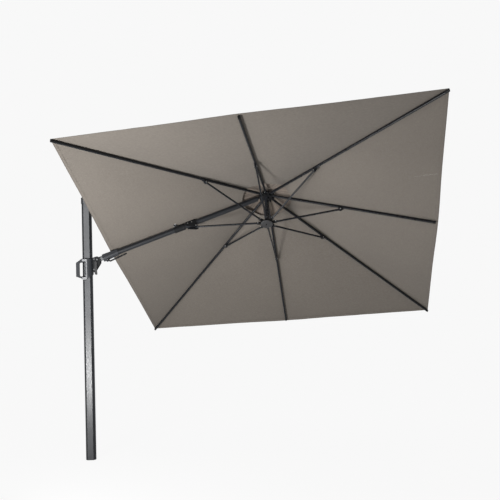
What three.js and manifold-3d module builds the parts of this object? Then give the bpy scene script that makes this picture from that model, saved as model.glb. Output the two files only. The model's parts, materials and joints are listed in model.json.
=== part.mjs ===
// Cantilever parasol: a square canopy on a tilting arm, carried by a slider on a tall mast.
// Millimetres, +Z up. The origin is the centre of the mast's foot; the arm reaches towards +X.
import * as THREE from 'three';
import { mergeVertices } from 'three/addons/utils/BufferGeometryUtils.js';
import Module from 'manifold-3d';

const wasm = await Module();
wasm.setup();

// ---------------------------------------------------------------- driving dimensions
const GAP = 0.4;                 // clearance between pieces that touch
const degrees = Math.PI / 180;

const mast = { height: 2424, width: 92, depth: 66, chamfer: 20, wall: 3 };
const cap = { rim: 4, height: 58, plugDepth: 40, hingeX: 85, hingeZ: 2450, earRadius: 13 };
const slider = { bottom: 1687, top: 1894, wall: 7, front: 50, flatEnd: 7, bevel: 6, lowest: -16 };
const grasp = { edge: -19, low: 1725, high: 1859, flare: 9, flareDepth: 12 };  // the window behind the handle
const handle = { outerX: -109, innerX: -53.5, bar: 30, depth: 34 };
const bracket = { backX: 53.5, plate: 8, halfWidth: 34, cheek: 7 };

// The arm: its pivot on the slider, its slope, how far the canopy is rolled about it.
const arm = { pivotX: 96, pivotZ: 1880, slope: 19.25 * degrees, length: 1741.3, roll: -34.16 * degrees };
const boom = { size: 42, chamfer: 9, wall: 2.5, start: 140 };
const grip = { start: 55, end: 211, halfWidth: 27.5, bore: 24.8 };
const rollLever = { pivot: [92, -45], elbow: [118, -70], end: [282, -53], thick: 12, width: 16 };
const collar = { start: 787, end: 896, radius: 30, bore: 24.7, pivot: 815, lift: 40 };
const strut = { size: 26, tongue: 20, eyeRadius: 10, tongueLength: 46 };
const clamp = { start: 913, end: 1012, halfWidth: 26, pivot: [1000, -54] };

// The canopy frame: origin at the peak of the fabric, +X away from the mast.
const canopy = { half: 1500, rise: 527, cornerRise: 531, bulge: 15, scallop: 5, thick: 2.4, drop: 23 };
canopy.lean = arm.slope + 0.77 * degrees;
const vent = { opening: 235, half: 400, lift: 24, hole: 15 };
const crown = { core: 48, finReach: 74, hingeRadius: 62, hingeZ: -38, top: -18, bottom: -58 };
const post = { radius: 22.5, bottom: -338 };
const runner = { core: 30, armReach: 92, hingeRadius: 84, hingeZ: -358, top: -340, bottom: -374 };
const rib = { width: 16, depth: 26, chamfer: 4, wall: 2, jointDrop: 27, below: 17, endInset: 34, tip: 30 };
const stretcher = { width: 13, depth: 19, chamfer: 4, eyeRadius: 11 };

// One entry per rib: where it points (degrees about the canopy's axis) and which outline point it ends at.
const RIBS = [
  { name: 'outer', azimuth: 0, corner: false },
  { name: 'outer_rear', azimuth: 45, corner: true },
  { name: 'rear', azimuth: 90, corner: false },
  { name: 'mast_rear', azimuth: 135, corner: true },
  { name: 'mast_front', azimuth: 225, corner: true },
  { name: 'front', azimuth: 270, corner: false },
  { name: 'outer_front', azimuth: 315, corner: true },
];
const JOINT_RADIUS = { middle: 693.7, corner: 696.4 };

// ---------------------------------------------------------------- materials
function plain(color, roughness, metalness) {
  return new THREE.MeshStandardMaterial({ color, roughness, metalness });
}
const anthracite = plain(0x33363a, 0.45, 0.6);
const black = plain(0x1b1c1e, 0.6, 0.1);
const grey = plain(0x6c6f73, 0.5, 0.3);
const steel = plain(0xb9bcc0, 0.3, 0.9);
const fabric = plain(0x857d75, 0.9, 0.0);

// ---------------------------------------------------------------- solid helpers
function toManifold(geometry) {
  const bare = geometry.index ? geometry.clone() : geometry;
  bare.deleteAttribute('normal');
  bare.deleteAttribute('uv');
  const welded = mergeVertices(bare, 1e-4);
  return new wasm.Manifold(new wasm.Mesh({
    numProp: 3,
    vertProperties: new Float32Array(welded.attributes.position.array),
    triVerts: new Uint32Array(welded.index.array),
  }));
}

function fromManifold(solid) {
  const mesh = solid.getMesh();
  const geometry = new THREE.BufferGeometry();
  geometry.setAttribute('position', new THREE.BufferAttribute(new Float32Array(mesh.vertProperties), 3));
  geometry.setIndex(new THREE.BufferAttribute(new Uint32Array(mesh.triVerts), 1));
  return geometry;
}

function join(...parts) {
  return fromManifold(parts.map(toManifold).reduce((whole, part) => whole.add(part)));
}

function cut(body, ...tools) {
  return fromManifold(tools.map(toManifold).reduce((rest, tool) => rest.subtract(tool), toManifold(body)));
}

function shapeOf(points) {
  return new THREE.Shape(points.map(([x, y]) => new THREE.Vector2(x, y)));
}

function extrude(points, depth, hole) {
  const shape = shapeOf(points);
  if (hole) shape.holes.push(shapeOf(hole));
  return new THREE.ExtrudeGeometry(shape, { depth, bevelEnabled: false });
}

/** A closed octagon: a width x height rectangle with its corners cut back. */
function octagon(width, height, chamfer) {
  const x = width / 2;
  const y = height / 2;
  const c = chamfer;
  const right = [[x - c, -y], [x, -y + c], [x, y - c], [x - c, y]];
  const left = [[c - x, y], [-x, y - c], [-x, c - y], [c - x, -y]];
  return [...right, ...left];
}

/** A block from its lowest and highest corners. */
function block(low, high) {
  const size = high.map((value, i) => value - low[i]);
  const middle = high.map((value, i) => (value + low[i]) / 2);
  return new THREE.BoxGeometry(...size).translate(...middle);
}

/** A round bar along X, Y or Z from one value to another, centred on the two other coordinates. */
function round(axis, radius, from, to, centre, segments = 20) {
  const bar = new THREE.CylinderGeometry(radius, radius, to - from, segments);
  bar.translate(0, (from + to) / 2, 0);
  if (axis === 'x') return bar.rotateZ(-Math.PI / 2).translate(0, centre[0], centre[1]);
  if (axis === 'z') return bar.rotateX(Math.PI / 2).translate(centre[0], centre[1], 0);
  return bar.translate(centre[0], 0, centre[1]);
}

/** A flat plate drawn in the XZ plane, `from` to `to` along Y. */
function plateXZ(points, from, to, hole) {
  return extrude(points, to - from, hole).rotateX(Math.PI / 2).translate(0, to, 0);
}

/** A straight bar of a given section between two points of the XZ plane, `overrun` past each end. */
function barXZ(section, from, to, overrun = 0, hole) {
  const run = new THREE.Vector2(to[0] - from[0], to[1] - from[1]);
  const bar = extrude(section, run.length() + 2 * overrun, hole);
  bar.translate(0, 0, -overrun);
  const along = new THREE.Vector3(run.x, 0, run.y).normalize();
  const side = new THREE.Vector3(0, 1, 0);
  const up = new THREE.Vector3().crossVectors(along, side);
  const turn = new THREE.Matrix4().makeBasis(side, up, along);
  return bar.applyMatrix4(turn).translate(from[0], 0, from[1]);
}

const parts = new THREE.Group();
parts.name = 'cantilever_parasol';

function add(name, geometry, material, frame) {
  const mesh = new THREE.Mesh(frame ? geometry.applyMatrix4(frame) : geometry, material);
  mesh.name = name;
  mesh.geometry.computeVertexNormals();
  parts.add(mesh);
}

// ---------------------------------------------------------------- frames
const moved = (x, y, z) => new THREE.Matrix4().makeTranslation(x, y, z);
const turnedX = (angle) => new THREE.Matrix4().makeRotationX(angle);
const turnedY = (angle) => new THREE.Matrix4().makeRotationY(angle);
const turnedZ = (angle) => new THREE.Matrix4().makeRotationZ(angle);

const armFrame = moved(arm.pivotX, 0, arm.pivotZ).multiply(turnedY(-arm.slope));
const rolledFrame = armFrame.clone().multiply(turnedX(arm.roll));
const canopyFrame = rolledFrame.clone()
  .multiply(moved(arm.length, 0, 0)).multiply(turnedY(canopy.lean)).multiply(moved(0, 0, canopy.drop));
const ribFrame = (azimuth) => canopyFrame.clone().multiply(turnedZ(azimuth * degrees));

/** A point of the canopy's XZ plane, given in the arm's frame. */
function inArm(x, z) {
  const c = Math.cos(canopy.lean);
  const s = Math.sin(canopy.lean);
  return [arm.length + c * x + s * (z + canopy.drop), -s * x + c * (z + canopy.drop)];
}

// ---------------------------------------------------------------- mast
function addMast() {
  const { height, width, depth, chamfer, wall } = mast;
  const inner = octagon(width - 2 * wall, depth - 2 * wall, chamfer - wall);
  add('mast_tube', extrude(octagon(width, depth, chamfer), height, inner), anthracite);

  const fit = 2 * (wall + GAP);
  const plug = octagon(width - fit, depth - fit, chamfer - wall);
  add('mast_foot_plug', extrude(plug, 60), black);

  const rim = extrude(octagon(width + 2 * cap.rim, depth + 2 * cap.rim, chamfer + 1), cap.height);
  rim.translate(0, 0, height + GAP);
  const tongue = extrude(plug, cap.plugDepth + 1).translate(0, 0, height - cap.plugDepth);
  const ears = [-1, 1].map((side) => {
    const inside = strut.size / 2 + GAP;
    const outside = inside + 6;
    const [near, far] = side < 0 ? [-outside, -inside] : [inside, outside];
    return join(
      block([width / 2, near, cap.hingeZ - cap.earRadius], [cap.hingeX, far, cap.hingeZ + cap.earRadius]),
      round('y', cap.earRadius, near, far, [cap.hingeX, cap.hingeZ]),
    );
  });
  add('mast_cap', join(rim, tongue, ...ears), black);
}

// ---------------------------------------------------------------- slider
/** The carriage's outline at one height: flat at the front left, then one broad curve to its right side. */
function carriageRing(z, inset) {
  const side = mast.width / 2 + slider.wall - inset / 2;
  const back = mast.depth / 2 + slider.wall - inset / 2;
  const front = slider.front - inset;
  const corner = 8;
  const rear = 20;
  const radius = side - slider.flatEnd;
  const ring = [[corner - side, -front]];
  for (let turn = 0; turn <= 90; turn += 15) {
    const angle = turn * degrees;
    ring.push([slider.flatEnd + radius * Math.sin(angle), radius - front - radius * Math.cos(angle)]);
  }
  ring.push([side, back - rear], [side - rear, back]);
  ring.push([rear - side, back], [-side, back - rear], [-side, corner - front]);
  return ring.map(([x, y]) => [x, y, z]);
}

/** An upright rectangle across the grasp window's left part, at one depth, larger by the flare. */
function windowRing(y, flare) {
  const left = -80;
  const right = grasp.edge + flare;
  const [low, high] = [grasp.low - flare, grasp.high + flare];
  return [[left, y, low], [left, y, high], [right, y, high], [right, y, low]];
}

function addSlider() {
  const { bottom, top, bevel, front, lowest } = slider;
  const solid = loft([
    carriageRing(bottom, bevel),
    carriageRing(bottom + bevel, 0),
    carriageRing(top - bevel, 0),
    carriageRing(top, bevel),
  ]);
  const passage = octagon(mast.width + 1.2, mast.depth + 1.2, mast.chamfer);
  const window = loft([windowRing(-front - 1, 0), windowRing(front, 0)]);
  const flare = loft([windowRing(-front - 1, grasp.flare), windowRing(grasp.flareDepth - front, 0)]);
  // the foot of the carriage comes to a blunt point: a shallow slope to the left, a steep one to the right
  const wedge = (x, rise) => {
    const under = bottom - 1;
    const corners = [[lowest, under], [x, under], [x, bottom + rise]];
    return plateXZ(x > lowest ? corners : corners.reverse(), -front - 5, front + 5);
  };
  const hole = extrude(passage, top - bottom + 20).translate(0, 0, bottom - 10);
  add('slider_carriage', cut(solid, hole, window, flare, wedge(-90, 28), wedge(80, 78)), grey);

  const { outerX, innerX, bar, depth } = handle;
  const inner = outerX + bar;
  const [low, high] = [bottom + 17, top - 3];
  // a C of one thickness, open towards the mast
  const outline = [
    [innerX, low], [innerX, grasp.low], [inner + 10, grasp.low], [inner, grasp.low + 12],
    [inner, grasp.high - 8], [inner + 8, grasp.high], [innerX, grasp.high], [innerX, high],
    [-60, high], [outerX, high - 34], [outerX, low + 20],
  ];
  add('slider_handle', plateXZ(outline, -depth / 2, depth / 2), grey);
}

const PIVOT_PIN = 8;
const BRACKET_BOLTS = { bracket_bolt_upper: [68, 1886], bracket_bolt_lower: [68, 1787] };

function addBracket() {
  const { backX, plate, halfWidth, cheek } = bracket;
  const x = backX + plate - 1;
  const reach = arm.pivotX + 30;
  const outline = [
    [x, 1762], [x + 24, 1783], [reach, 1848], [reach + 2, 1872],
    [reach - 10, 1900], [reach - 26, 1912], [x + 24, 1910], [x, 1902],
  ];
  const holes = [[arm.pivotX, arm.pivotZ, PIVOT_PIN + GAP]];
  for (const [boltX, boltZ] of Object.values(BRACKET_BOLTS)) holes.push([boltX, boltZ, 5 + GAP]);
  const drills = holes.map(([hx, hz, radius]) => round('y', radius, -60, 60, [hx, hz]));
  const body = join(
    block([backX, -halfWidth, 1762], [backX + plate, halfWidth, 1902]),
    plateXZ(outline, -halfWidth, cheek - halfWidth),
    plateXZ(outline, halfWidth - cheek, halfWidth),
  );
  add('hinge_bracket', cut(body, ...drills), black);

  const head = halfWidth + GAP;
  for (const [name, centre] of Object.entries(BRACKET_BOLTS)) {
    add(name, join(
      round('y', 5, -head - 2, head + 2, centre, 12),
      round('y', 7.5, -head - 4, -head, centre, 6),
      round('y', 7.5, head, head + 4, centre, 6),
    ), steel);
  }
  const pivot = [arm.pivotX, arm.pivotZ];
  add('arm_pivot_bolt', join(
    round('y', PIVOT_PIN, -head - 2, head + 2, pivot),
    round('y', 9, -head - 5, -head, pivot),
    round('y', 9, head, head + 5, pivot),
  ), steel);
}

function addSliderLever() {
  const [x, z] = [84, 1852];
  const outline = [
    [x - 11, z + 9], [x + 5, z + 13], [x + 12, z + 4], [x + 11, z - 60],
    [x + 15, z - 112], [x + 8, z - 118], [x - 9, z - 112], [x - 11, z - 60],
  ];
  const near = -bracket.halfWidth - GAP;
  const blade = plateXZ(outline, near - 13, near - 6);
  add('slider_lever', join(blade, round('y', 8, near - 7, near, [x, z])), grey);
}

// ---------------------------------------------------------------- arm
function addArmRoot() {
  const eye = round('y', 23, -26.5, 26.5, [0, 0], 28);
  const shaft = round('x', 22.5, 12, 132, [0, 0], 28);
  add('arm_knuckle', cut(join(eye, shaft), round('y', PIVOT_PIN + GAP, -40, 40, [0, 0])), grey, armFrame);

  const sleeve = round('x', collar.radius, collar.start, collar.end, [0, 0], 28);
  const rim = round('x', collar.radius + 1.2, collar.end - 16, collar.end, [0, 0], 28);
  const inside = strut.tongue / 2 + GAP;
  const ears = [-1, 1].map((side) => {
    const [near, far] = side < 0 ? [-inside - 6, -inside] : [inside, inside + 6];
    return join(
      plateXZ([
        [collar.pivot - 20, 25], [collar.pivot + 20, 25], [collar.pivot + 9, 48], [collar.pivot - 9, 48],
      ], near, far),
      round('y', 12, near, far, [collar.pivot, collar.lift]),
    );
  });
  const bore = round('x', collar.bore, collar.start - 5, collar.end + 5, [0, 0], 28);
  const pinHole = round('y', 4 + GAP, -30, 30, [collar.pivot, collar.lift]);
  add('swivel_collar', cut(join(sleeve, rim, ...ears), bore, pinHole), black, armFrame);
  add('strut_pin', round('y', 4, -18, 18, [collar.pivot, collar.lift], 12), steel, armFrame);
}

function addStrut() {
  // both ends in world coordinates of the XZ plane
  const c = Math.cos(arm.slope);
  const s = Math.sin(arm.slope);
  const foot = [
    arm.pivotX + c * collar.pivot - s * collar.lift,
    arm.pivotZ + s * collar.pivot + c * collar.lift,
  ];
  const top = [cap.hingeX, cap.hingeZ];
  const length = Math.hypot(top[0] - foot[0], top[1] - foot[1]);
  const at = (distance) => [
    foot[0] + (top[0] - foot[0]) * distance / length,
    foot[1] + (top[1] - foot[1]) * distance / length,
  ];
  const outer = octagon(strut.size, strut.size, 6);
  const tongue = octagon(strut.tongue, 15, 2);
  const body = join(
    barXZ(outer, at(strut.tongueLength), at(length - 34)),
    barXZ(tongue, foot, at(strut.tongueLength + 12)),
    barXZ(octagon(strut.size, 17, 2), at(length - 46), top),
    round('y', strut.eyeRadius, -strut.tongue / 2, strut.tongue / 2, foot),
    round('y', strut.eyeRadius, -strut.size / 2, strut.size / 2, top),
  );
  add('strut', cut(body, round('y', 4 + GAP, -30, 30, foot), round('y', 4 + GAP, -30, 30, top)), anthracite);
}

/** A closed solid through rings of points that all have the same number of points. */
function loft(rings) {
  const count = rings[0].length;
  const triangles = [];
  for (let ring = 0; ring + 1 < rings.length; ring++) {
    for (let i = 0; i < count; i++) {
      const a = ring * count + i;
      const b = ring * count + (i + 1) % count;
      triangles.push(a, b, b + count, a, b + count, a + count);
    }
  }
  const last = (rings.length - 1) * count;
  for (let i = 1; i + 1 < count; i++) {
    triangles.push(0, i + 1, i);
    triangles.push(last, last + i, last + i + 1);
  }
  const geometry = new THREE.BufferGeometry();
  geometry.setAttribute('position', new THREE.Float32BufferAttribute(rings.flat(2), 3));
  geometry.setIndex(triangles);
  return geometry;
}

/** A ring across the arm at a distance along it: an octagon between the given heights. */
function armRing(distance, halfWidth, low, high, chamfer) {
  const ring = octagon(2 * halfWidth, high - low, chamfer);
  return ring.map(([y, z]) => [distance, y, z + (low + high) / 2]);
}

function addGrip() {
  const { start, end, halfWidth } = grip;
  const outer = loft([
    armRing(start, halfWidth, -35, 27.5, 10),
    armRing(start + 12, halfWidth + 1, -37, 29, 10),
    armRing(start + 80, halfWidth, -31, 28, 10),
    armRing(end, halfWidth - 0.5, -27, 27, 10),
  ]);
  const lugs = [-1, 1].map((side) => {
    const inside = rollLever.width / 2 + GAP;
    const [near, far] = side < 0 ? [-inside - 5, -inside] : [inside, inside + 5];
    const [x, z] = rollLever.pivot;
    return plateXZ([
      [x - 18, -28], [x - 12, z - 9], [x + 4, z - 12], [x + 16, z + 2], [x + 22, -28],
    ], near, far);
  });
  const bore = round('x', grip.bore, start - 5, end + 5, [0, 0], 28);
  const pinHole = round('y', 4 + GAP, -40, 40, rollLever.pivot, 12);
  add('grip_sleeve', cut(join(outer, ...lugs), bore, pinHole), grey, rolledFrame);
  add('roll_lever_pin', round('y', 4, -14, 14, rollLever.pivot, 12), steel, rolledFrame);

  const section = octagon(rollLever.width, rollLever.thick, 3);
  const lever = join(
    barXZ(section, rollLever.pivot, rollLever.elbow, 3),
    barXZ(section, rollLever.elbow, rollLever.end, 3),
    round('y', 8, -rollLever.width / 2, rollLever.width / 2, rollLever.pivot, 16),
  );
  add('roll_lever', cut(lever, round('y', 4 + GAP, -40, 40, rollLever.pivot, 12)), black, rolledFrame);
}

/** The arm's pivot on the crown: the arm acts as the canopy's eighth rib. */
const BOOM_HINGE = inArm(-crown.hingeRadius, crown.hingeZ);

function addBoom() {
  const { size, chamfer, wall, start } = boom;
  const inner = octagon(size - 2 * wall, size - 2 * wall, chamfer - 1);
  const tubeEnd = BOOM_HINGE[0] - 34;
  const tube = barXZ(octagon(size, size, chamfer), [start, 0], [tubeEnd, 0], 0, inner);
  const stop = barXZ(octagon(size - 1, size - 1, chamfer), [tubeEnd - 30, 0], [tubeEnd - 1, 0]);
  const tongue = barXZ(octagon(16, 22, 2), [tubeEnd - 20, 0], BOOM_HINGE);
  const eye = round('y', 11, -8, 8, BOOM_HINGE, 16);
  add('boom', join(tube, stop, tongue, eye), anthracite, rolledFrame);

  const [pivotX, pivotZ] = clamp.pivot;
  const half = boom.size / 2 + GAP;
  const side = [
    [clamp.start, -24], [clamp.start, 24], [clamp.end - 6, 24], [clamp.end, 14],
    [pivotX + 14, pivotZ - 6], [pivotX + 4, pivotZ - 13], [pivotX - 12, pivotZ - 11],
  ];
  add('stretcher_clamp', join(
    plateXZ(side, -clamp.halfWidth, -half),
    plateXZ(side, half, clamp.halfWidth),
    block([clamp.start, -clamp.halfWidth, half], [clamp.end - 6, clamp.halfWidth, 24]),
  ), black, rolledFrame);
  const outside = -clamp.halfWidth - GAP;
  add('clamp_bolt_1', round('y', 6, outside - 4, outside, [932, 2], 6), steel, rolledFrame);
  add('clamp_bolt_2', round('y', 6, outside - 4, outside, [972, 3], 6), steel, rolledFrame);

  add('canopy_edge_clip', block([140, -16, 28.6], [182, 16, 37.5]), black, rolledFrame);
}

// ---------------------------------------------------------------- crown, post and runner
function fins(reach, inner, thick, bottom, top) {
  return [0, 1, 2, 3, 4, 5, 6, 7].map((index) => {
    const fin = block([inner, -thick / 2, bottom], [reach, thick / 2, top]);
    return fin.rotateZ((22.5 + 45 * index) * degrees);
  });
}

/** Eight pairs of cheeks on the runner, each pair holding one stretcher's inner end. */
function runnerArms() {
  const inside = stretcher.width / 2 + GAP;
  const arms = [];
  for (let index = 0; index < 8; index++) {
    for (const side of [-1, 1]) {
      const [near, far] = side < 0 ? [-inside - 3.5, -inside] : [inside, inside + 3.5];
      const cheek = block([18, near, runner.hingeZ - 11], [runner.armReach, far, runner.hingeZ + 9]);
      arms.push(cheek.rotateZ(45 * index * degrees));
    }
  }
  return arms;
}

function addHubs() {
  const core = round('z', crown.core, crown.bottom, crown.top, [0, 0], 32);
  const hinges = fins(crown.finReach, 30, 10, crown.bottom + 2, crown.top - 2);
  add('crown_hub', join(core, ...hinges), black, canopyFrame);
  const postBar = round('z', post.radius, post.bottom, crown.bottom - GAP, [0, 0], 32);
  add('centre_post', postBar, anthracite, canopyFrame);

  const lid = new THREE.LatheGeometry([
    [0, crown.top + GAP], [12, crown.top + GAP], [12, 30], [44, 30], [50, 33], [46, 38], [20, 44], [0, 46],
  ].map(([r, z]) => new THREE.Vector2(r, z)), 28).rotateX(Math.PI / 2);
  add('crown_cap', lid, black, canopyFrame);

  const hub = round('z', runner.core, runner.bottom, runner.top, [0, 0], 32);
  add('runner_hub', join(hub, ...runnerArms()), black, canopyFrame);
  const low = runner.bottom - GAP;
  const disc = new THREE.LatheGeometry([
    [8, low], [56, low], [58, low - 3], [54, low - 9], [40, low - 11], [10, low - 11], [8, low - 9], [8, low],
  ].reverse().map(([r, z]) => new THREE.Vector2(r, z)), 32).rotateX(Math.PI / 2);
  add('runner_disc', disc, grey, canopyFrame);
}

// ---------------------------------------------------------------- ribs and stretchers
/** The rib's axis in its own XZ plane: from its hinge on the crown to its end under the fabric's edge. */
function ribLine(corner) {
  const reach = corner ? canopy.half * Math.SQRT2 : canopy.half;
  const rise = corner ? canopy.cornerRise : canopy.rise;
  const end = reach - rib.endInset;
  return { from: [crown.hingeRadius, crown.hingeZ], to: [end, -rise * end / reach - rib.below] };
}

/** The pivot of a stretcher under its rib. */
function ribJoint(corner) {
  const { from, to } = ribLine(corner);
  const radius = corner ? JOINT_RADIUS.corner : JOINT_RADIUS.middle;
  const slope = (to[1] - from[1]) / (to[0] - from[0]);
  const onAxis = [radius, from[1] + slope * (radius - from[0])];
  return { onAxis, pivot: [onAxis[0] + slope * rib.jointDrop * 0.95, onAxis[1] - rib.jointDrop * 0.95] };
}

function addRib({ name, azimuth, corner }) {
  const frame = ribFrame(azimuth);
  const { from, to } = ribLine(corner);
  const length = Math.hypot(to[0] - from[0], to[1] - from[1]);
  const at = (distance) => [0, 1].map((i) => from[i] + (to[i] - from[i]) * distance / length);
  const section = octagon(rib.width, rib.depth, rib.chamfer);
  const hollow = octagon(rib.width - 2 * rib.wall, rib.depth - 2 * rib.wall, rib.chamfer - 1);
  const tube = barXZ(section, at(24), to, 0, hollow);
  const root = barXZ(octagon(13, 18, 2), from, at(60));
  const eye = round('y', 11, -7, 7, from, 16);
  const plug = barXZ(octagon(rib.width - 1, rib.depth - 1, rib.chamfer), at(25), at(40));

  const { onAxis, pivot } = ribJoint(corner);
  const lugs = [-1, 1].map((side) => {
    const inside = stretcher.width / 2 + GAP;
    const [near, far] = side < 0 ? [-inside - 4, -inside] : [inside, inside + 4];
    const [x, z] = pivot;
    return plateXZ([
      [onAxis[0] - 30, onAxis[1] + 4], [x - 13, z - 9], [x - 4, z - 14], [x + 8, z - 13], [x + 13, z - 5],
      [onAxis[0] + 30, onAxis[1] - 16],
    ], near, far);
  });
  const pinHole = round('y', 3 + GAP, -30, 30, pivot, 10);
  add(`rib_${name}`, cut(join(tube, root, eye, plug, ...lugs), pinHole), anthracite, frame);

  const tipStart = [0, 1].map((i) => to[i] + (to[i] - from[i]) * GAP / length);
  const tipEnd = [0, 1].map((i) => to[i] + (to[i] - from[i]) * rib.tip / length);
  const tipSection = octagon(rib.width + 3, rib.depth + 3, rib.chamfer + 3);
  add(`rib_tip_${name}`, barXZ(tipSection, tipStart, tipEnd), black, frame);
}

function stretcherSolid(outer, inner) {
  const body = join(
    barXZ(octagon(stretcher.width, stretcher.depth, stretcher.chamfer), outer, inner),
    round('y', stretcher.eyeRadius, -stretcher.width / 2, stretcher.width / 2, outer, 16),
    round('y', stretcher.eyeRadius - 1, -stretcher.width / 2, stretcher.width / 2, inner, 16),
  );
  const pinHole = round('y', 3 + GAP, -30, 30, outer, 10);
  return cut(body, pinHole);
}

function addStretchers() {
  const hubEnd = [runner.hingeRadius, runner.hingeZ];
  for (const { name, azimuth, corner } of RIBS) {
    add(`stretcher_${name}`, stretcherSolid(ribJoint(corner).pivot, hubEnd), anthracite, ribFrame(azimuth));
  }
  const armHubEnd = inArm(-runner.hingeRadius, runner.hingeZ);
  add('stretcher_arm', stretcherSolid(clamp.pivot, armHubEnd), anthracite, rolledFrame);
}

// ---------------------------------------------------------------- fabric
/** Height of the fabric at a plan direction and distance: straight along the ribs, sagging between them. */
function fabricPoint(azimuth, share, inner) {
  const turn = azimuth * degrees;
  const offMiddle = Math.abs(((azimuth % 90) + 90 + 45) % 90 - 45);
  const between = Math.sin(Math.PI * offMiddle / 45) ** 2;
  const straight = canopy.half / Math.cos(offMiddle * degrees);
  const edge = straight + canopy.bulge * Math.cos(offMiddle * 2 * degrees) - canopy.scallop * between;
  const rise = canopy.rise + (canopy.cornerRise - canopy.rise) * offMiddle / 45;
  const radius = inner + (edge - inner) * share;
  const sag = 14 * between * Math.sin(Math.PI * Math.min(1, radius / edge));
  return [radius * Math.cos(turn), radius * Math.sin(turn), -rise * radius / straight - sag];
}

const RADIAL_STEPS = 6;
const SIDE_STEPS = 4;

/** One panel of fabric: everything closer to one rib than to its neighbours. */
function panel(azimuth, point, gapAngle) {
  const half = 22.5 - gapAngle;
  const rows = [];
  for (let i = 0; i <= RADIAL_STEPS; i++) {
    const row = [];
    for (let j = 0; j <= SIDE_STEPS; j++) {
      row.push(point(azimuth - half + 2 * half * j / SIDE_STEPS, i / RADIAL_STEPS));
    }
    rows.push(row);
  }
  const lifted = rows.map((row) => row.map(([x, y, z]) => [x, y, z + canopy.thick]));
  const slices = rows.map((row, i) => [...row, ...lifted[i].slice().reverse()]);
  return loftSheet(slices);
}

/** A thin sheet from slices that each run along the underside and back along the top. */
function loftSheet(slices) {
  const sheet = loft(slices);
  const count = slices[0].length;
  const side = count / 2;
  const walls = (slices.length - 1) * count * 6;
  const triangles = Array.from(sheet.index.array).slice(0, walls);
  for (const [start, flip] of [[0, false], [(slices.length - 1) * count, true]]) {
    for (let i = 0; i + 1 < side; i++) {
      const [a, b] = [start + i, start + i + 1];
      const [c, d] = [start + count - 1 - i, start + count - 2 - i];
      triangles.push(...(flip ? [a, b, d, a, d, c] : [a, d, b, a, c, d]));
    }
  }
  sheet.setIndex(triangles);
  return sheet;
}

function addCanopy() {
  const gapAngle = 0.04;
  const main = (azimuth, share) => fabricPoint(azimuth, share, vent.opening);
  for (const { name, azimuth } of RIBS) {
    add(`canopy_panel_${name}`, panel(azimuth, main, gapAngle), fabric, canopyFrame);
  }
  // the panel over the arm has an opening where the strut passes through
  const [x, z] = [-870, -300];
  const opening = block([x - 95, -55, z - 90], [x + 50, 55, z + 90]);
  add('canopy_panel_arm', cut(panel(180, main, gapAngle), opening), fabric, canopyFrame);
  add('vent_cap', ventCap(), fabric, canopyFrame);
}

/** The small cap of fabric over the wind opening, square like the canopy itself. */
function ventCap() {
  const steps = 32;
  const under = [vent.hole, 120, 250, 1].map((distance) => {
    const ring = [];
    for (let i = 0; i < steps; i++) {
      const azimuth = 360 * i / steps;
      const offMiddle = Math.abs(((azimuth % 90) + 90 + 45) % 90 - 45);
      const edge = vent.half / Math.cos(offMiddle * degrees);
      const radius = distance === 1 ? edge : distance;
      const slope = canopy.rise / canopy.half * Math.cos(offMiddle * degrees);
      const turn = azimuth * degrees;
      ring.push([radius * Math.cos(turn), radius * Math.sin(turn), vent.lift - slope * radius * 0.97]);
    }
    return ring;
  });
  const above = under.map((ring) => ring.map(([x, y, z]) => [x, y, z + canopy.thick])).reverse();
  const rings = [...under, ...above];
  const triangles = [];
  for (let ring = 0; ring < rings.length; ring++) {
    for (let i = 0; i < steps; i++) {
      const next = (ring + 1) % rings.length;
      const [a, b] = [ring * steps + i, ring * steps + (i + 1) % steps];
      const [c, d] = [next * steps + i, next * steps + (i + 1) % steps];
      triangles.push(a, b, d, a, d, c);
    }
  }
  const geometry = new THREE.BufferGeometry();
  geometry.setAttribute('position', new THREE.Float32BufferAttribute(rings.flat(2), 3));
  geometry.setIndex(triangles);
  return geometry;
}

addMast();
addSlider();
addBracket();
addSliderLever();
addArmRoot();
addStrut();
addGrip();
addBoom();
addHubs();
RIBS.forEach(addRib);
addStretchers();
addCanopy();

export default parts;
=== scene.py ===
"""Cantilever parasol: its fabric, finishes and small fittings, and the studio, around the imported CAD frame.

Metres, +Z up, in the CAD's own frame. The canopy is one continuous sheet, cut on the lines midway between
its ribs so that each part can fold with its own rib.
"""
import json
import math

import bpy
import numpy as np
from mathutils import Matrix, Vector, noise


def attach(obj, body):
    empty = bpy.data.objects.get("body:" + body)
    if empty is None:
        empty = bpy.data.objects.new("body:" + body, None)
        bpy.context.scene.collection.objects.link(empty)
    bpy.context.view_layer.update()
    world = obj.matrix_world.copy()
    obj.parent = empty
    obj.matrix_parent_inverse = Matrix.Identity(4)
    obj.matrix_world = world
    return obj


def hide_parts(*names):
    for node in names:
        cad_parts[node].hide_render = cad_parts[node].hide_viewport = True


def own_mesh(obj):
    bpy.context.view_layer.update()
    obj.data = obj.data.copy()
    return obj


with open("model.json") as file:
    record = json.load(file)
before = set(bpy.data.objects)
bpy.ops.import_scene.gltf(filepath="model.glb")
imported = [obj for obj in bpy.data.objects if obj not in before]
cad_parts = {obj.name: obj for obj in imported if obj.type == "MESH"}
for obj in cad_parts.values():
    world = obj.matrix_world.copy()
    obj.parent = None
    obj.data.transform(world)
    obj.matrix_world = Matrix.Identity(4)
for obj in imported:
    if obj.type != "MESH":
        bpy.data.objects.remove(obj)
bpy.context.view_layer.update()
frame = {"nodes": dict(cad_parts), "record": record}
joints = {joint["name"]: joint for joint in frame["record"]["behaviour"]["joints"]}

MM = 0.001

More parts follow.
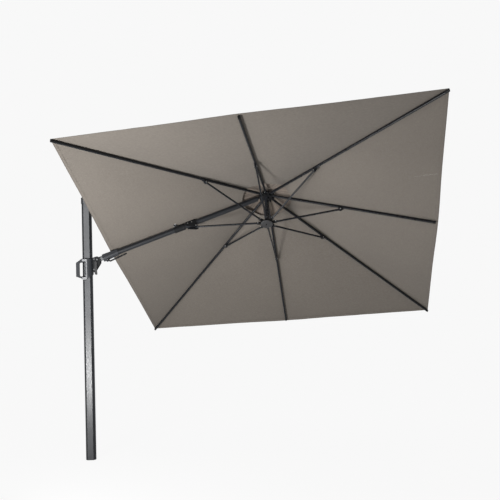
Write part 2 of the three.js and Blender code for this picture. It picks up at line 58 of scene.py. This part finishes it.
# ---------------------------------------------------------------- driving sizes
# The canopy as the CAD has it, around its own peak and axis.
HALF = 1500 * MM             # from the middle to the middle of an edge
RISE = 527 * MM              # height of the peak above the middle of an edge
CORNER_RISE = 531 * MM
BULGE = 15 * MM              # how far the ends of the ribs push the edge out
SCALLOP = 5 * MM             # how far the edge curves in between two ribs
SAG = 14 * MM                # how deep the fabric hangs midway between two ribs
HINGE_DROP = 38 * MM         # the rib hinges lie this far below the peak
RUNNER_RADIUS = 84 * MM
RUNNER_DROP = 358 * MM
OPENING = 235 * MM           # radius of the wind opening
CAP_HALF = 400 * MM          # the square cap, from its middle to the middle of an edge
CAP_LIFT = 24 * MM           # how far the cap's peak is above the canopy's
CAP_HOLE = 15 * MM
CAP_CENTRE = 75 * MM         # radius of the cap's part that stays on the crown
CAP_SLOPE = 0.97             # the cap's slope as a share of the canopy's
STRUT_SLOT = (-898 * MM, -875 * MM, 52 * MM)   # ends and half width of the slot for the strut

# Heights of the wrinkles: beside the crown, across a part, along the edge, and the cap's rays.
CROWN_PULL = 2.5 * MM
PANEL_PULL = 2.5 * MM
EDGE_PULL = 2 * MM
CAP_RAYS = 7 * MM
CAP_FINE_RAYS = 4 * MM

HEM = 32 * MM
# How the hem turns: each row's step outwards from the edge, and its drop below the fabric.
HEM_TURN = [(0.8 * MM, 1.0 * MM), (0.0, 2.0 * MM), (-HEM, 2.2 * MM)]

# From the middle of each joint to the face that its rivet's head lies on, and the heads' radii.
RUNNER_PIN_REACH = 10.4 * MM
RIB_PIN_REACH = 10.9 * MM
CLAMP_PIN_REACH = 26 * MM
CROWN_PIN_REACH = 12 * MM    # an estimate: these heads stand 5 mm off the rib's eye, which is 14 mm wide
CROWN_PIN = 4 * MM
RUNNER_PIN = 5 * MM
STRETCHER_PIN = 5.5 * MM

# One entry per rib, in degrees about the canopy's axis from the side away from the mast.
# The boom is the eighth.
RIBS = {
    "outer": 0,
    "outer_rear": 45,
    "rear": 90,
    "mast_rear": 135,
    "arm": 180,
    "mast_front": 225,
    "front": 270,
    "outer_front": 315,
}
SPACING = 45
COLUMNS = 28                 # fabric faces across one rib's part
ROWS = 56                    # fabric faces from the opening to the edge
CAP_ROWS = 16                # the same for the cap over the opening
CENTRE_COLUMNS = 8
CENTRE_ROWS = 4

# The camera stands where the photographer stood, level with a grown person's chest.
CAMERA_AT = (1.218, -6.377, 1.430)
CAMERA_TURN = (-0.25, 3.56, 1.78)   # yaw, pitch and roll, in degrees
LENS = 47.96
SHIFT = (0.0647, 0.0235)

BACKGROUND = 0.939           # linear, reads as near-white
FILL = 0.45                  # how brightly the pale surroundings light the object
FLOOR_PAPER = 0.06           # the share of light that the floor returns on its own

# The lamps' places, in metres, and what they aim at: a point of the canopy's own frame, or of the object's.
KEY = {"place": (-0.45, -2.2, 0.6), "at_canopy": (-0.7, -1.0, -0.4), "size": 0.9, "power": 100}
SIDE_FILL = {"place": (-1.6, -1.2, 0.7), "at_canopy": (1.5, 0.3, -0.5), "size": 0.8, "power": 3, "spread": 40}
FRONT_FILL = {"place": (-1.5, -6.5, 3.6), "at": (0.1, 0, 1.9), "size": 1.5, "power": 32}


def tone(red, green, blue):
    """A display colour from 0 to 255 as a linear one."""
    shares = [value / 255 for value in (red, green, blue)]
    return tuple(s / 12.92 if s <= 0.04045 else ((s + 0.055) / 1.055) ** 2.4 for s in shares) + (1.0,)


# ---------------------------------------------------------------- the canopy's own frame
def joint_place(name):
    return Vector(joints[name]["pos_m"])


def canopy_frame():
    """The matrix from the canopy's frame to the object's: origin at the peak, +X away from the mast."""
    outer, inner = joint_place("rib_outer_hinge"), joint_place("crown_hinge")
    x = (outer - inner).normalized()
    y = (joint_place("rib_rear_hinge") - joint_place("rib_front_hinge")).normalized()
    z = x.cross(y)
    turn = Matrix((x, y, z)).transposed().to_4x4()
    return Matrix.Translation((outer + inner) / 2 + z * HINGE_DROP) @ turn


CANOPY = canopy_frame()


# ---------------------------------------------------------------- materials
class Finish:
    """One Principled material, with short calls for the nodes that give it its detail."""

    def __init__(self, name, roughness, metallic=0.0, specular=0.5):
        self.material = bpy.data.materials.new(name)
        self.material.use_nodes = True
        self.nodes = self.material.node_tree.nodes
        self.links = self.material.node_tree.links
        self.shader = self.nodes["Principled BSDF"]
        self.shader.inputs["Roughness"].default_value = roughness
        self.shader.inputs["Metallic"].default_value = metallic
        self.shader.inputs["Specular IOR Level"].default_value = specular
        self.where = self.nodes.new("ShaderNodeTexCoord")
        self.normal = None

    def put(self, socket, value):
        if isinstance(value, bpy.types.NodeSocket):
            self.links.new(value, socket)
        else:
            socket.default_value = value

    def math(self, operation, first, second=0.0, clamp=False):
        node = self.nodes.new("ShaderNodeMath")
        node.operation = operation
        node.use_clamp = clamp
        self.put(node.inputs[0], first)
        self.put(node.inputs[1], second)
        return node.outputs[0]

    def noise(self, scale, detail=3.0, stretch=(1, 1, 1)):
        """Cloudy noise in the piece's own coordinates; a stretch below 1 draws it out along that axis."""
        mapping = self.nodes.new("ShaderNodeMapping")
        mapping.inputs["Scale"].default_value = stretch
        self.links.new(self.where.outputs["Object"], mapping.inputs["Vector"])
        node = self.nodes.new("ShaderNodeTexNoise")
        node.inputs["Scale"].default_value = scale
        node.inputs["Detail"].default_value = detail
        self.links.new(mapping.outputs["Vector"], node.inputs["Vector"])
        return node.outputs["Fac"]

    def between(self, value, low, high, start=0.0, end=1.0):
        """start where value is low, end where it is high, and smooth in between."""
        node = self.nodes.new("ShaderNodeMapRange")
        node.interpolation_type = "SMOOTHSTEP"
        for socket, number in zip(("From Min", "From Max", "To Min", "To Max"), (low, high, start, end)):
            node.inputs[socket].default_value = number
        self.put(node.inputs["Value"], value)
        return node.outputs["Result"]

    def mix(self, share, first, second):
        node = self.nodes.new("ShaderNodeMix")
        node.data_type = "RGBA"
        colours = [socket for socket in node.inputs if socket.type == "RGBA"]
        self.put(node.inputs["Factor"], share)
        self.put(colours[0], first)
        self.put(colours[1], second)
        return next(socket for socket in node.outputs if socket.type == "RGBA")

    def axis(self, socket, index):
        """One coordinate of a vector output."""
        node = self.nodes.new("ShaderNodeSeparateXYZ")
        self.links.new(socket, node.inputs[0])
        return node.outputs[index]

    def attribute(self, name):
        node = self.nodes.new("ShaderNodeAttribute")
        node.attribute_name = name
        return node

    def colour(self, value):
        self.put(self.shader.inputs["Base Color"], value)

    def roughness(self, value):
        self.put(self.shader.inputs["Roughness"], value)

    def bump(self, height, distance, strength=1.0):
        node = self.nodes.new("ShaderNodeBump")
        node.inputs["Distance"].default_value = distance
        node.inputs["Strength"].default_value = strength
        self.put(node.inputs["Height"], height)
        if self.normal is not None:
            self.links.new(self.normal, node.inputs["Normal"])
        self.normal = node.outputs["Normal"]
        self.put(self.shader.inputs["Normal"], self.normal)

    def soft_edges(self, radius):
        """Rounds the sharp edges in the light, and returns 1 on them and 0 elsewhere."""
        bevel = self.nodes.new("ShaderNodeBevel")
        bevel.samples = 4
        bevel.inputs["Radius"].default_value = radius
        self.normal = bevel.outputs["Normal"]
        self.put(self.shader.inputs["Normal"], self.normal)
        geometry = self.nodes.new("ShaderNodeNewGeometry")
        product = self.nodes.new("ShaderNodeVectorMath")
        product.operation = "DOT_PRODUCT"
        self.links.new(bevel.outputs["Normal"], product.inputs[0])
        self.links.new(geometry.outputs["Normal"], product.inputs[1])
        return self.between(product.outputs["Value"], 0.999, 0.94)


def painted(name, paint, painted_highlight=None, highlight_until=None, highlight_full_at=None,
            roughness=0.42, specular=0.35):
    """Powder-coated aluminium: fine orange peel, faint draw lines, paler edges, part wear and part painted
    highlight.
    Where given, the third argument is a painted highlight on the faces that look straight to the front or
    back;
    the fourth keeps it to the side away from the canopy, and fades it into painted shade towards the other
    side;
    the fifth is the height from which the painted highlight is at its full, and it fades from there towards
    the foot."""
    finish = Finish(name, roughness, metallic=0.0, specular=specular)
    wear_and_highlight = finish.soft_edges(1.2 * MM)
    base = paint
    # Painted highlight on the faces that look to the front or back, with painted shade where it fades out.
    if painted_highlight is not None:
        facing = finish.math("ABSOLUTE", finish.axis(finish.where.outputs["Normal"], 1))
        share = finish.between(facing, 0.80, 0.97)
        if highlight_until is not None:
            across = finish.axis(finish.where.outputs["Object"], 0)
            this_side = finish.between(across, highlight_until, -highlight_until, 1.0, 0.0)
            share = finish.math("MULTIPLY", share, this_side)
        if highlight_full_at is not None:
            height = finish.axis(finish.where.outputs["Object"], 2)
            share = finish.math("MULTIPLY", share, finish.between(height, 0.0, highlight_full_at, 0.35, 1.0))
        base = finish.mix(share, paint, painted_highlight)
    cloud = finish.between(finish.noise(9, 4), 0.35, 0.7)
    mottled = finish.mix(finish.math("MULTIPLY", cloud, 0.16), base, tone(12, 13, 15))
    speck = finish.between(finish.noise(1400, 2), 0.55, 0.8)
    speckled = finish.mix(finish.math("MULTIPLY", speck, 0.10), mottled, tone(150, 152, 156))
    # Paler edges: part wear, part painted highlight.
    finish.colour(finish.mix(finish.math("MULTIPLY", wear_and_highlight, 0.22), speckled, tone(128, 131, 136)))
    finish.roughness(finish.between(finish.noise(60, 5), 0.3, 0.75, roughness - 0.07, roughness + 0.1))
    finish.bump(finish.noise(900, 2), 0.05 * MM, 0.35)
    return finish


def moulded(name, colour, roughness=0.55, grain=0.08, specular=0.3):
    """Moulded plastic: a fine leathery grain, and paler edges, part wear and part painted highlight."""
    finish = Finish(name, roughness, specular=specular)
    wear_and_highlight = finish.soft_edges(1.5 * MM)
    cloud = finish.between(finish.noise(22, 4), 0.3, 0.75)
    darker = tuple(channel * 0.72 for channel in colour[:3]) + (1.0,)
    mottled = finish.mix(finish.math("MULTIPLY", cloud, 0.5), colour, darker)
    paler = tuple(min(1.0, channel * 1.8 + 0.05) for channel in colour[:3]) + (1.0,)
    # Paler edges: part wear, part painted highlight.
    finish.colour(finish.mix(finish.math("MULTIPLY", wear_and_highlight, 0.6), mottled, paler))
    finish.roughness(finish.between(finish.noise(140, 3), 0.3, 0.7, roughness - 0.08, roughness + 0.1))
    finish.bump(finish.noise(1100, 3), grain * MM, 0.5)
    return finish


def bright_steel(name, shine=1.0):
    """Zinc-plated steel: faint brushed scratches and a little grey bloom. A shine below 1 is duller."""
    finish = Finish(name, 0.28, metallic=1.0)
    finish.soft_edges(0.8 * MM)
    bloom = finish.between(finish.noise(180, 4), 0.35, 0.7)
    clean = tone(*(shine * level for level in (226, 228, 230)))
    dull = tone(*(shine * level for level in (158, 161, 165)))
    finish.colour(finish.mix(finish.math("MULTIPLY", bloom, 0.45), clean, dull))
    finish.roughness(finish.between(finish.noise(500, 3, (0.15, 1, 1)), 0.3, 0.7, 0.2, 0.42))
    finish.bump(finish.noise(900, 2, (0.1, 1, 1)), 0.03 * MM, 0.4)
    return finish


def woven(name, colour, shade, pucker_shade=0.0):
    """Woven polyester: crossing threads, a soft sheen, stitched hem and paler tape at the edge.
    The last argument is how strongly rays of painted shade run out from the crown over a loose piece,
    standing in for the shade of its puckers."""
    finish = Finish(name, 0.82, specular=0.2)
    cloth = finish.attribute("cloth").outputs["Vector"]
    across, along, from_rim = (finish.axis(cloth, index) for index in range(3))

    thread = 2 * math.pi / (1.6 * MM)
    warp = finish.math("SINE", finish.math("MULTIPLY", across, thread))
    weft = finish.math("SINE", finish.math("MULTIPLY", along, thread))
    weave = finish.math("MULTIPLY", warp, weft)

    cloud = finish.between(finish.noise(1.7, 3), 0.3, 0.7)
    base = finish.mix(finish.math("MULTIPLY", cloud, 0.35), colour, shade)
    slub = finish.between(finish.noise(240, 3, (0.2, 1, 1)), 0.35, 0.75)
    base = finish.mix(finish.math("MULTIPLY", slub, 0.14), base, tone(176, 168, 158))
    base = finish.mix(finish.between(weave, -0.6, 0.9, 0.0, 0.12), base, tone(60, 55, 50))

    # Painted shade in rays from the crown, standing in for the shade of the cap's puckers.
    if pucker_shade:
        rays = finish.nodes.new("ShaderNodeCombineXYZ")
        finish.put(rays.inputs[0], finish.math("MULTIPLY", finish.math("DIVIDE", across, along), 22.0))
        finish.put(rays.inputs[1], finish.math("MULTIPLY", along, 4.0))
        texture = finish.nodes.new("ShaderNodeTexNoise")
        texture.inputs["Scale"].default_value = 1.0
        finish.put(texture.inputs["Vector"], rays.outputs[0])
        painted_pucker_shade = finish.between(texture.outputs["Fac"], 0.35, 0.65)
        base = finish.mix(finish.math("MULTIPLY", painted_pucker_shade, pucker_shade), base, tone(70, 60, 52))

    tape = finish.between(from_rim, 4 * MM, 6 * MM, 0.35, 0.0)
    base = finish.mix(tape, base, tone(70, 66, 62))
    stitch = 2 * math.pi / (5 * MM)
    stitch_gap = finish.between(finish.math("SINE", finish.math("MULTIPLY", across, stitch)), -0.2, 0.1)
    stitches = 0.0
    for distance in (8 * MM, HEM - 4 * MM):
        off = finish.math("ABSOLUTE", finish.math("SUBTRACT", from_rim, distance))
        line = finish.math("MULTIPLY", finish.between(off, 0.9 * MM, 0.3 * MM), stitch_gap)
        stitches = finish.math("ADD", line, stitches)
    finish.colour(finish.mix(finish.math("MULTIPLY", stitches, 0.7), base, tone(64, 60, 56)))

    finish.roughness(finish.between(finish.noise(30, 4), 0.3, 0.7, 0.76, 0.9))
    finish.shader.inputs["Sheen Weight"].default_value = 0.12
    finish.shader.inputs["Sheen Roughness"].default_value = 0.5
    finish.bump(finish.noise(6, 4), 1.6 * MM, 0.25)
    finish.bump(finish.math("SUBTRACT", weave, finish.math("MULTIPLY", stitches, 2.0)), 0.1 * MM, 0.3)
    return finish


# ---------------------------------------------------------------- the fabric's shape
def off_middle(azimuth):
    """Degrees from the nearest middle of an edge: 0 there, 45 at a corner."""
    return abs((azimuth + 45) % 90 - 45)


def between_ribs(azimuth):
    """0 on a rib and 1 midway between two."""
    return math.sin(math.pi * off_middle(azimuth) / SPACING) ** 2


def canopy_height(azimuth, radius):
    straight = HALF / math.cos(math.radians(off_middle(azimuth)))
    rise = RISE + (CORNER_RISE - RISE) * off_middle(azimuth) / SPACING
    edge = canopy_edge(azimuth)
    sag = SAG * between_ribs(azimuth) * math.sin(math.pi * min(1, radius / edge))
    return -rise * radius / straight - sag


def canopy_edge(azimuth):
    """Radius of the fabric's edge."""
    off = math.radians(off_middle(azimuth))
    return HALF / math.cos(off) + BULGE * math.cos(2 * off) - SCALLOP * between_ribs(azimuth)


def cap_height(azimuth, radius):
    slope = RISE / HALF * math.cos(math.radians(off_middle(azimuth)))
    return CAP_LIFT - slope * radius * CAP_SLOPE


def cap_edge(azimuth):
    return CAP_HALF / math.cos(math.radians(off_middle(azimuth)))


def canopy_wrinkle(azimuth, radius, edge):
    """Shallow pulls that run out from the crown and from the rib ends."""
    turn = math.radians(azimuth)
    soft = between_ribs(azimuth)
    near_crown = max(0.0, 1 - (radius - OPENING) / 0.35)
    spokes = noise.noise(Vector((math.cos(turn) * 9, math.sin(turn) * 9, radius * 3)))
    broad = noise.noise(Vector((radius * math.cos(turn) * 2.2, radius * math.sin(turn) * 2.2, 4.0)))
    near_edge = max(0.0, 1 - (edge - radius) / 0.25)
    ripple = noise.noise(Vector((azimuth * 0.22, radius, 9.0)))
    return CROWN_PULL * near_crown * spokes + PANEL_PULL * soft * broad + EDGE_PULL * near_edge * ripple


def cap_wrinkle(azimuth, radius, edge):
    """The cap is loose: it wrinkles in narrow rays around the crown."""
    turn = math.radians(azimuth)
    slack = math.sin(math.pi * min(1.0, radius / edge))
    rays = noise.noise(Vector((math.cos(turn) * 5, math.sin(turn) * 5, radius * 6)))
    fine = noise.noise(Vector((math.cos(turn) * 14, math.sin(turn) * 14, radius * 9)))
    return slack * (CAP_RAYS * rays + CAP_FINE_RAYS * fine)


def sheet_rows(inner, edge_of, height_of, wrinkle_of, columns, rows):
    """Grids of points, of directions to the crown side and of cloth coordinates, right round the canopy.

    The last rows turn under the edge and come back, as the sewn hem does."""
    steps = columns * len(RIBS)
    azimuths = [SPACING * (i / columns - 0.5) for i in range(steps + 1)]
    places, cloth = [], []
    for row in range(rows + 1 + len(HEM_TURN)):
        ring, marks = [], []
        for azimuth in azimuths:
            edge = edge_of(azimuth)
            outward, drop = HEM_TURN[row - rows - 1] if row > rows else (0.0, 0.0)
            radius = inner + (edge - inner) * min(1.0, row / rows) + outward
            turn = math.radians(azimuth)
            height = height_of(azimuth, radius) + wrinkle_of(azimuth, radius, edge) - drop
            ring.append((radius * math.cos(turn), radius * math.sin(turn), height))
            nearest = SPACING * round(azimuth / SPACING)
            side = radius * math.sin(math.radians(azimuth - nearest))
            marks.append((side, radius, edge - radius))
        places.append(ring)
        cloth.append(marks)
    places = np.array(places)
    down = np.gradient(places, axis=0)
    around = np.gradient(places, axis=1)
    around[:, 0] = around[:, -1] = places[:, 1] - places[:, -2]
    normals = np.cross(down, around)
    normals /= np.linalg.norm(normals, axis=2, keepdims=True)
    return places, normals, np.array(cloth)


def in_slot(place):
    """True over the slot that the strut comes through."""
    low, high, half_width = STRUT_SLOT
    return low < place[0] < high and abs(place[1]) < half_width


def sheet_part(name, places, normals, cloth, finish, left_out=None):
    """One part of the sheet as a mesh. Its border normals come from the whole sheet, so no joint shows."""
    rows, columns = places.shape[:2]
    turned = places.reshape(-1, 3) @ np.array(CANOPY.to_3x3()).T + np.array(CANOPY.translation)
    faces = []
    for row in range(rows - 1):
        for column in range(columns - 1):
            corner = row * columns + column
            middle = places[row:row + 2, column:column + 2].mean(axis=(0, 1))
            if left_out and left_out(middle):
                continue
            faces.append((corner, corner + columns, corner + columns + 1, corner + 1))
    mesh = bpy.data.meshes.new(name)
    mesh.from_pydata(turned.tolist(), [], faces)
    mesh.update()
    mesh.polygons.foreach_set("use_smooth", [True] * len(faces))
    marks = mesh.attributes.new("cloth", "FLOAT_VECTOR", "POINT")
    marks.data.foreach_set("vector", cloth.reshape(-1).astype(np.float32))
    directions = normals.reshape(-1, 3) @ np.array(CANOPY.to_3x3()).T
    mesh.normals_split_custom_set_from_vertices(directions.tolist())
    mesh.materials.append(finish.material)
    piece = bpy.data.objects.new(name, mesh)
    bpy.context.scene.collection.objects.link(piece)
    return piece


def fold_with_rib(piece, rib):
    """The piece rides on its rib."""
    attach(piece, "arm" if rib == "arm" else f"rib_{rib}")
    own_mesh(piece)


def cut_to_ribs(prefix, node, grid, finish, columns):
    """The sheet's parts, one to a rib."""
    places, normals, cloth = grid
    for index, rib in enumerate(RIBS):
        span = slice(index * columns, (index + 1) * columns + 1)
        part = places[:, span]
        slot = in_slot if prefix == "canopy" and rib == "arm" else None
        piece = sheet_part(f"{prefix}_{rib}", part, normals[:, span], cloth[:, span], finish, slot)
        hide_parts(node.format(rib=rib))
        fold_with_rib(piece, rib)


def add_fabric():
    cloth = woven("canopy_cloth", tone(111, 105, 98), tone(103, 97, 91))
    # The cap's cloth is a little browner than the canopy's, its own colour, and paler: painted light,
    # standing in for light through the thin cloth.
    loose = woven("vent_cloth_with_painted_light", tone(142, 131, 121), tone(118, 108, 100), pucker_shade=0.6)
    canopy = sheet_rows(OPENING, canopy_edge, canopy_height, canopy_wrinkle, COLUMNS, ROWS)
    cut_to_ribs("canopy", "canopy_panel_{rib}", canopy, cloth, COLUMNS)
    cap = sheet_rows(CAP_CENTRE, cap_edge, cap_height, cap_wrinkle, COLUMNS, CAP_ROWS)
    cut_to_ribs("vent_cap", "vent_cap", cap, loose, COLUMNS)
    add_cap_centre(loose)


def add_cap_centre(loose):
    """The round middle of the cap, which stays on the crown. It has no hem."""
    centre = sheet_rows(CAP_HOLE, lambda azimuth: CAP_CENTRE, cap_height, cap_wrinkle,
                        CENTRE_COLUMNS, CENTRE_ROWS)
    places, normals, marks = (grid[:CENTRE_ROWS + 1] for grid in centre)
    piece = sheet_part("vent_cap_centre", places, normals, marks, loose)
    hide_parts("vent_cap")
    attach(piece, "crown")


# ---------------------------------------------------------------- rivets
def lathe(profile, steps=14):
    """Points and faces of a turned solid around Z, from (radius, height) pairs that end on the axis."""
    points, faces = [], []
    for radius, height in profile:
        for step in range(steps):
            turn = 2 * math.pi * step / steps
            points.append((radius * math.cos(turn), radius * math.sin(turn), height))
    for ring in range(len(profile) - 1):
        for step in range(steps):
            a = ring * steps + step
            b = ring * steps + (step + 1) % steps
            faces.append((a, b, b + steps, a + steps))
    last = (len(profile) - 1) * steps
    faces.append(tuple(range(steps - 1, -1, -1)))
    faces.append(tuple(range(last, last + steps)))
    return points, faces


RIVET = [(1.0, 0.0), (1.0, 0.25), (0.86, 0.5), (0.55, 0.62), (0.5, 0.5), (0.2, 0.48), (0.03, 0.48)]


def rivets(name, body, places, radius, finish):
    """Domed heads with a dimple, one per (centre, outward direction), as one piece."""
    points, faces = [], []
    dome, dome_faces = lathe([(r * radius, h * radius) for r, h in RIVET])
    for centre, outward in places:
        turn = Vector((0, 0, 1)).rotation_difference(outward)
        start = len(points)
        points += [Vector(centre) + turn @ Vector(point) for point in dome]
        faces += [tuple(start + i for i in face) for face in dome_faces]
    mesh = bpy.data.meshes.new(name)
    mesh.from_pydata(points, [], faces)
    mesh.update()
    mesh.materials.append(finish.material)
    piece = bpy.data.objects.new(name, mesh)
    bpy.context.scene.collection.objects.link(piece)
    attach(piece, body)
    return piece


def both_sides(centre, axis, reach):
    return [(centre + axis * reach, axis), (centre - axis * reach, -axis)]


def add_rivets():
    steel = bright_steel("rivet_steel")
    runner_places, crown_places = [], []
    for rib, azimuth in RIBS.items():
        turn = math.radians(azimuth)
        outward = Vector((math.cos(turn), math.sin(turn), 0))
        across = CANOPY.to_3x3() @ Vector((-math.sin(turn), math.cos(turn), 0))
        runner_pivot = CANOPY @ (outward * RUNNER_RADIUS - Vector((0, 0, RUNNER_DROP)))
        runner_places += both_sides(runner_pivot, across, RUNNER_PIN_REACH)
        pivot = joint_place(f"stretcher_{rib}_hinge")
        axis = Vector(joints[f"stretcher_{rib}_hinge"]["axis"]).normalized()
        reach = CLAMP_PIN_REACH if rib == "arm" else RIB_PIN_REACH
        body = "arm" if rib == "arm" else f"rib_{rib}"
        rivets(f"stretcher_rivets_{rib}", body, both_sides(pivot, axis, reach), STRETCHER_PIN, steel)
        if rib != "arm":
            hinge = joint_place(f"rib_{rib}_hinge")
            crown_places += both_sides(hinge, axis, CROWN_PIN_REACH)
    rivets("runner_rivets", "runner", runner_places, RUNNER_PIN, steel)
    rivets("crown_pins", "crown", crown_places, CROWN_PIN, steel)


# ---------------------------------------------------------------- finishes on the CAD's own nodes
def finish_nodes():
    # The mast's front and back get a painted highlight, at its full from 2.4 m up and fading towards the
    # foot.
    mast = painted("mast_paint_with_painted_highlight", tone(34, 36, 39), painted_highlight=tone(102, 103, 105), highlight_full_at=2.4,
                   roughness=0.34)
    tube = painted("tube_paint", tone(36, 38, 42))
    frame_paint = painted("rib_paint", tone(20, 23, 28), roughness=0.32, specular=0.3)
    # The carriage's front and back get a painted highlight on the side away from the canopy, fading into
    # painted shade towards it.
    slider = painted("slider_paint_with_painted_highlight", tone(46, 48, 52), painted_highlight=tone(150, 151, 153),
                     highlight_until=-8 * MM)
    loop = painted("handle_paint", tone(48, 50, 54), roughness=0.36)
    post = painted("post_paint", tone(40, 43, 48), roughness=0.24, specular=0.6)
    black = moulded("black_plastic", tone(26, 27, 29), specular=0.22)
    grey = moulded("grey_plastic", tone(96, 98, 101))
    disc = moulded("disc_plastic", tone(56, 56, 57), grain=0.2)
    pale = moulded("knuckle_plastic", tone(106, 108, 110))
    sleeve = moulded("grip_plastic", tone(58, 60, 64), grain=0.2)
    steel = bright_steel("bolt_steel", shine=0.55)
    bright = bright_steel("clamp_bolt_steel")
    chosen = {
        "mast_tube": mast,
        "mast_cap": mast,
        "mast_foot_plug": black,
        "slider_carriage": slider,
        "slider_handle": loop,
        "slider_lever": disc,
        "hinge_bracket": black,
        "arm_knuckle": pale,
        "grip_sleeve": sleeve,
        "roll_lever": black,
        "boom": tube,
        "strut": tube,
        "centre_post": post,
        "runner_disc": disc,
        "clamp_bolt_1": bright,
        "clamp_bolt_2": bright,
    }
    by_slot = {"anthracite": frame_paint, "black": black, "grey": grey, "steel": steel, "fabric": grey}
    slots = {part["node"]: part["material_slot"] for part in frame["record"]["subparts"]}
    for name, node in frame["nodes"].items():
        finish = chosen.get(name, by_slot[slots[name]])
        for place in node.material_slots:
            place.material = finish.material


# ---------------------------------------------------------------- studio
def add_camera():
    camera = bpy.data.cameras.new("camera")
    camera.lens = LENS
    camera.shift_x, camera.shift_y = SHIFT
    holder = bpy.data.objects.new("camera", camera)
    yaw, pitch, roll = (math.radians(angle) for angle in CAMERA_TURN)
    turn = Matrix.Rotation(yaw, 4, "Z") @ Matrix.Rotation(pitch, 4, "X") @ Matrix.Rotation(roll, 4, "Y")
    upright = Matrix.Rotation(math.radians(90), 4, "X")
    holder.matrix_world = Matrix.Translation(CAMERA_AT) @ turn @ upright
    bpy.context.scene.collection.objects.link(holder)
    bpy.context.scene.camera = holder


def add_lamp(name, place, size, power, at=None, at_canopy=None, spread=180):
    lamp = bpy.data.lights.new(name, "AREA")
    lamp.shape = "DISK"
    lamp.size = size
    lamp.energy = power
    lamp.spread = math.radians(spread)
    holder = bpy.data.objects.new(name, lamp)
    aim = Vector(at) if at_canopy is None else CANOPY @ Vector(at_canopy)
    direction = aim - Vector(place)
    holder.matrix_world = Matrix.Translation(place) @ direction.to_track_quat("-Z", "Y").to_matrix().to_4x4()
    holder.visible_camera = False
    bpy.context.scene.collection.objects.link(holder)


def seen_and_lit(tree, shown, lit):
    """A strength that is one value to the eye and another, gentler one as a light."""
    path = tree.nodes.new("ShaderNodeLightPath")
    strength = tree.nodes.new("ShaderNodeMapRange")
    strength.inputs["To Min"].default_value = lit
    strength.inputs["To Max"].default_value = shown
    tree.links.new(path.outputs["Is Camera Ray"], strength.inputs["Value"])
    return strength.outputs["Result"]


def add_floor():
    """A pale floor as bright as the background, so that it runs into it without a line."""
    size = 40.0
    corners = [(-size, -size, 0), (size, -size, 0), (size, size, 0), (-size, size, 0)]
    mesh = bpy.data.meshes.new("floor")
    mesh.from_pydata(corners, [], [(0, 1, 2, 3)])
    floor = bpy.data.objects.new("floor", mesh)
    material = bpy.data.materials.new("floor_paper")
    material.use_nodes = True
    tree = material.node_tree
    shader = tree.nodes["Principled BSDF"]
    shader.inputs["Base Color"].default_value = (FLOOR_PAPER, FLOOR_PAPER, FLOOR_PAPER, 1)
    shader.inputs["Roughness"].default_value = 1.0
    shader.inputs["Specular IOR Level"].default_value = 0.0
    shader.inputs["Emission Color"].default_value = (1, 1, 1, 1)
    strength = seen_and_lit(tree, BACKGROUND - FLOOR_PAPER * FILL, FILL)
    tree.links.new(strength, shader.inputs["Emission Strength"])
    mesh.materials.append(material)
    bpy.context.scene.collection.objects.link(floor)


def add_studio():
    world = bpy.data.worlds.new("studio")
    world.use_nodes = True
    background = world.node_tree.nodes["Background"]
    background.inputs["Color"].default_value = (1, 1, 1, 1)
    strength = seen_and_lit(world.node_tree, BACKGROUND, FILL)
    world.node_tree.links.new(strength, background.inputs["Strength"])
    bpy.context.scene.world = world
    bpy.context.scene.view_settings.view_transform = "Standard"
    add_floor()
    add_lamp("key", **KEY)
    add_lamp("side_fill", **SIDE_FILL)
    add_lamp("front_fill", **FRONT_FILL)


finish_nodes()
add_fabric()
add_rivets()
add_studio()
add_camera()
